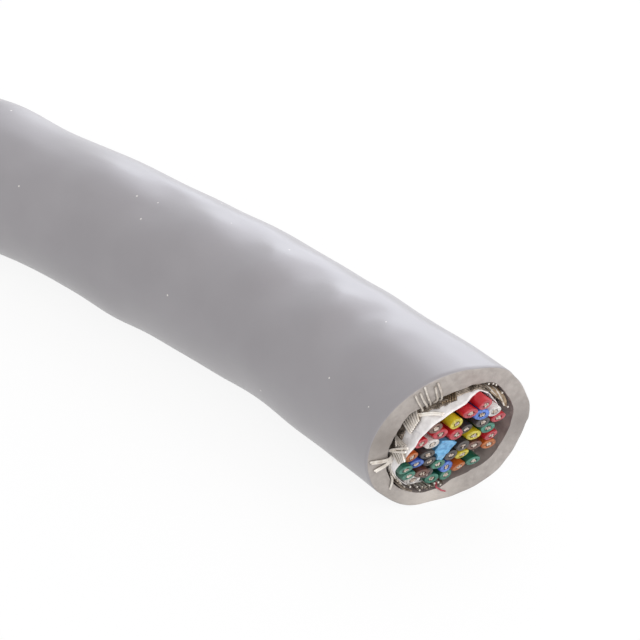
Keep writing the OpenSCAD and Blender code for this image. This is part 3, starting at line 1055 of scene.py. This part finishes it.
# The end at the cut: how far it wanders, and how often
END_WANDER = 0.25
END_WAVES = 2
END_SLICE = 5


def outline_point(corners, k):
    """A corner of an outline, or a point part of the way to the next corner."""
    number, part = divmod(k, EDGE_PARTS)
    next_corner = Vector(corners[(number + 1) % len(corners)])
    return Vector(corners[number]).lerp(next_corner, part / EDGE_PARTS)


def filler_point(k, share):
    """A point of the strip's outline, which the cutters squashed and the film's creases dent."""
    squashed = outline_point(FILLER_AT_CUT, k)
    end = wire_cut(*squashed) + END_WANDER * noise.noise(Vector((*(squashed * END_WAVES), END_SLICE)))
    along = along_to(end, share)
    place = (WIRE_PITCH * outline_point(FILLER, k)).lerp(squashed, near_cut(along))
    dent = DENT * noise.noise(Vector((*(place * DENTS_ROUND), along * DENTS_ALONG)))
    return on_route(along, *(place * (FILLER_FIT + dent)))


# Blown polypropylene film, crushed into a strip: light blue, with a soft shine on its creases
film_blue = surface("blue_polypropylene_film", "#74B2DA", "#4582B2", patch=0.4, mark=0.4, height=0.05,
                    values={"Roughness": 0.35, "IOR": 1.49})
bm = bmesh.new()
rings = sweep(bm, EDGE_PARTS * len(FILLER), crowded(FILLER_STEPS), filler_point)
for ring in (rings[0], rings[-1]):
    cap = bmesh.ops.contextual_create(bm, geom=loop_of(bm, ring))["faces"]
    bmesh.ops.triangulate(bm, faces=cap)
add_piece("filler_strip", mesh_of("filler_strip", bm), "centre_filler",
          [film_blue], sharp=30)
print("filler corners:", EDGE_PARTS * len(FILLER))

# %% [markdown]
# ## The rip cord
# A thin red thread lies under the tape, for tearing the wraps open, and its end hangs out of the
# cut. It is two plies wound round each other, each a strand like those of the braid. One thicker
# strand would be simpler, but two plies give it the twisted edge of a yarn.

# %% Rip cord
RIP_CORD = WIRE_PITCH * Vector((0.2, -3.8))
PLY_R = 0.045
PLY_LAY = 1.6
PLY_STEPS = 440
# The loose end takes over this far before the cut. Its points: across, up, reach past the cut
LOOSE_FROM = 4
RIP_END = ((0.1, -4.95, -0.6), (-0.35, -5.3, 0.05), (0.15, -5.75, 0.16), (0.55, -6.0, 0.12))

# Twisted nylon yarn: a matt red, with a darker red between its fibres
yarn_red = surface("red_nylon_yarn", "#B8505E", "#963644", patch=0.3, mark=0.05, height=0.01,
                   values={"Roughness": 0.5, "IOR": 1.53})
plies = []
for side in (0, math.pi):
    line = []
    for k in range(PLY_STEPS + 1):
        along = along_to(BEND_LENGTH - LOOSE_FROM, k / PLY_STEPS)
        spin = side + math.tau * along / PLY_LAY
        line.append(on_route(along, *(RIP_CORD + PLY_R * unit(spin))))
    shift = PLY_R * unit(side)
    line += [past_cut(across + shift.x, up + shift.y, reach) for across, up, reach in RIP_END]
    plies.append(line)
add_piece("rip_cord_thread", strands_mesh("rip_cord_thread", ("POLY", PLY_R, plies)), "rip_cord",
          [yarn_red])
print("rip cord plies:", len(plies))

# %% [markdown]
# ## Floor and background
# The photograph has a plain white ground. The floor and the world are white to the camera and to
# the rays that show the ground, and less bright to the rest, so that the white does not wash the
# cable out. The floor keeps a trace of the shadow. A cut-out on white would be simpler, but then
# the cable would hang in the air.

# %% White ground
FLOOR = 2.0
WHITE_SHARE = 0.9
WORLD_LIGHT = 0.73


def sees_white(owner):
    """Whether a ray is one that shows the white ground: from the camera, a gloss or a clear thing."""
    ray = add(owner, "ShaderNodeLightPath")
    shine = add(owner, "ShaderNodeMath", {},
                {0: ray.outputs["Is Glossy Ray"], 1: ray.outputs["Is Transmission Ray"]},
                operation="MAXIMUM")
    return add(owner, "ShaderNodeMath", {}, {0: ray.outputs["Is Camera Ray"], 1: shine.outputs[0]},
               operation="MAXIMUM").outputs[0]


def white_ground():
    """Matt white paper, mostly seen as pure white, with a part of its own shade for the shadow."""
    material = new_material("white_floor")
    plain = add(material, "ShaderNodeBsdfDiffuse", {"Color": linear("#F4F4F4")})
    glow = add(material, "ShaderNodeEmission", {"Color": linear("#FFFFFF"), "Strength": 1})
    share = add(material, "ShaderNodeMath", {1: WHITE_SHARE}, {0: sees_white(material)},
                operation="MULTIPLY")
    mixed = add(material, "ShaderNodeMixShader", {},
                {0: share.outputs[0], 1: plain.outputs[0], 2: glow.outputs[0]})
    add(material, "ShaderNodeOutputMaterial", {}, {"Surface": mixed.outputs[0]})
    return material


bm = bmesh.new()
bmesh.ops.create_grid(bm, x_segments=1, y_segments=1, size=FLOOR / 2)
floor = bpy.data.objects.new("floor", mesh_of("floor", bm))
floor.data.materials.append(white_ground())
scene.collection.objects.link(floor)

world = bpy.data.worlds.new("studio")
scene.world = world
world.use_nodes = True
background = world.node_tree.nodes["Background"]
background.inputs["Color"].default_value = linear("#FFFFFF")
strength = add(world, "ShaderNodeMath", {1: 1 - WORLD_LIGHT, 2: WORLD_LIGHT}, {0: sees_white(world)},
               operation="MULTIPLY_ADD")
world.node_tree.links.new(strength.outputs[0], background.inputs["Strength"])
print("floor:", FLOOR, "m, light of the world:", WORLD_LIGHT)

# %% [markdown]
# ## Softboxes
# The light in the photograph is soft, from above and behind. A wide softbox at the top gives soft
# shading, a small one low at the back draws the bright band along the upper edge, a weak one
# between them gives the patches below that band, and one at the side lights the cut end. One big
# lamp would be simpler, but it would draw only one highlight.

# %% Light
# Name, place and size in metres, power in watts, colour
SOFTBOXES = (
    ("top_softbox", (-0.12, 0.36, 0.36), 0.45, 1.2, "#F2F4FF"),
    ("back_softbox", (-0.23, 0.43, 0.12), 0.21, 0.28, "#EEF4FF"),
    ("window_softbox", (-0.31, 0.27, 0.37), 0.22, 0.11, "#F2F4FF"),
    ("side_softbox", (0.48, -0.12, 0.22), 0.4, 1.4, "#FFFAF4"),
)


def softbox(name, place, size, power, colour):
    """A square area lamp that looks at the middle of the cable."""
    data = bpy.data.lights.new(name, "AREA")
    data.size = size
    data.energy = power
    data.color = linear(colour)[:3]
    lamp = bpy.data.objects.new(name, data)
    lamp.location = place
    lamp.rotation_euler = Vector(place).to_track_quat("Z", "Y").to_euler()
    scene.collection.objects.link(lamp)


for box in SOFTBOXES:
    softbox(*box)
scene.view_settings.view_transform = "Standard"
